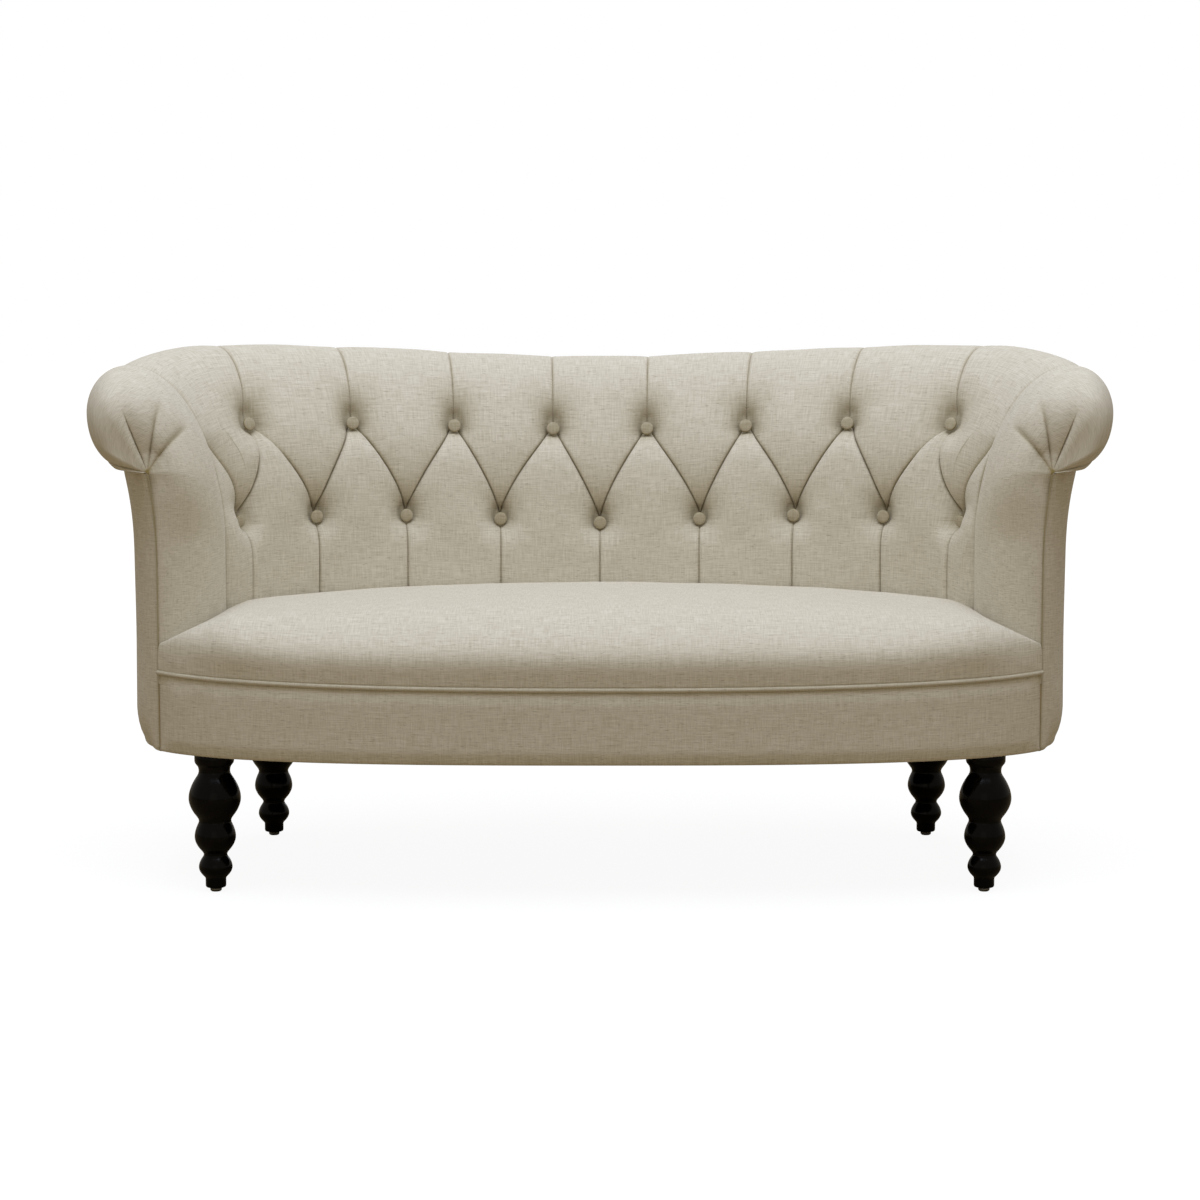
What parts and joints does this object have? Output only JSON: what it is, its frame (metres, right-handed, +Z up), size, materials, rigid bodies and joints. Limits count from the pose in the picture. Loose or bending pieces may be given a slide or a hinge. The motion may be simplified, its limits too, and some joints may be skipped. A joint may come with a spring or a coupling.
{
  "type": "sofa",
  "caption": "Low tufted settee with an oval seat, a button-tufted back that scrolls over and runs on into rounded arms, and turned ball legs.",
  "frame": {"origin": "on the floor, under the middle of the sofa", "axes": "+X to the right as one faces the sofa, along its length; +Y to the rear; +Z up; the front faces -Y"},
  "size_m": [1.5194, 0.7522, 0.7888],
  "materials": {
    "linen": "oatmeal slubby linen weave",
    "linen_front": "the same linen, seen in shade on the front rail",
    "ebonised_wood": "turned hardwood, stained black-brown and polished",
    "glide_steel": "nickel-plated nail glide",
    "frame_timber": "sawn beech",
    "hessian": "plain jute hessian",
    "webbing": "woven jute webbing",
    "seat_foam": "upholstery foam",
    "dust_cover_cloth": "black cambric"
  },
  "bodies": {
    "root": {"leg_front_left": "ebonised_wood", "glide_front_left": "glide_steel", "corner_block_front_left": "frame_timber", "leg_front_right": "ebonised_wood", "glide_front_right": "glide_steel", "corner_block_front_right": "frame_timber", "leg_rear_left": "ebonised_wood", "glide_rear_left": "glide_steel", "corner_block_rear_left": "frame_timber", "leg_rear_right": "ebonised_wood", "glide_rear_right": "glide_steel", "corner_block_rear_right": "frame_timber", "front_rail": "frame_timber", "rear_rail": "frame_timber", "side_rail_left": "frame_timber", "side_rail_right": "frame_timber", "back_stay": "frame_timber", "corner_post_left": "frame_timber", "corner_post_right": "frame_timber", "back_scroll_rail": "frame_timber", "arm_scroll_rail_left": "frame_timber", "arm_scroll_rail_right": "frame_timber", "arm_post_left": "frame_timber", "arm_post_right": "frame_timber", "back_tack_rail": "frame_timber", "arm_tack_rail_left": "frame_timber", "arm_tack_rail_right": "frame_timber", "hessian": "hessian", "seat_webbing": "webbing", "seat_foam": "seat_foam", "dust_cover": "dust_cover_cloth", "inside_back": "linen", "inside_arm_left": "linen", "inside_arm_right": "linen", "arm_front_left": "linen", "arm_front_right": "linen", "seat_cover": "linen", "outside_back": "linen", "outside_arm_left": "linen", "outside_arm_right": "linen", "button_lower_1": "linen", "button_lower_2": "linen", "button_lower_3": "linen", "button_lower_4": "linen", "button_lower_5": "linen", "button_lower_6": "linen", "button_lower_7": "linen", "button_lower_8": "linen", "button_lower_9": "linen", "button_upper_1": "linen", "button_upper_2": "linen", "button_upper_3": "linen", "button_upper_4": "linen", "button_upper_5": "linen", "button_upper_6": "linen", "button_upper_7": "linen", "button_upper_8": "linen", "seat_welt": "linen_front", "front_border": "linen_front"}
  },
  "joints": []
}
